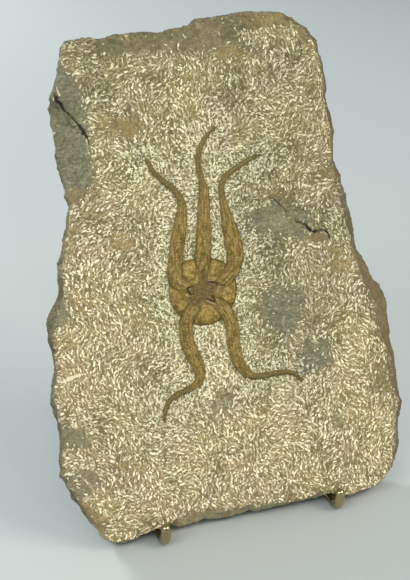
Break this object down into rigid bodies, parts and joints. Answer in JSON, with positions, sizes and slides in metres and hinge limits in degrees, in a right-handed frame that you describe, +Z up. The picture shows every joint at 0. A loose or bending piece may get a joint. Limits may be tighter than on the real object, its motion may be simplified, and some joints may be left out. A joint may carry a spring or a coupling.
{
  "type": "fossil brittle star",
  "caption": "Fossil brittle star lying in low relief on an irregular slab of tooled siltstone, leaning back on two hooks of a bent brass wire stand.",
  "frame": {"origin": "on the table, under the middle of the whole object's bounding box", "axes": "+Z up, +X to the right seen from the front; the front of the slab, with the animal, looks along -Y and leans back"},
  "size_m": [0.1116, 0.0708, 0.144],
  "materials": {
    "siltstone": "matte",
    "fossil": "matte",
    "brass_wire": "satin"
  },
  "bodies": {
    "root": {"slab": "siltstone", "brittle_star": "fossil", "wire_stand": "brass_wire"}
  },
  "joints": []
}
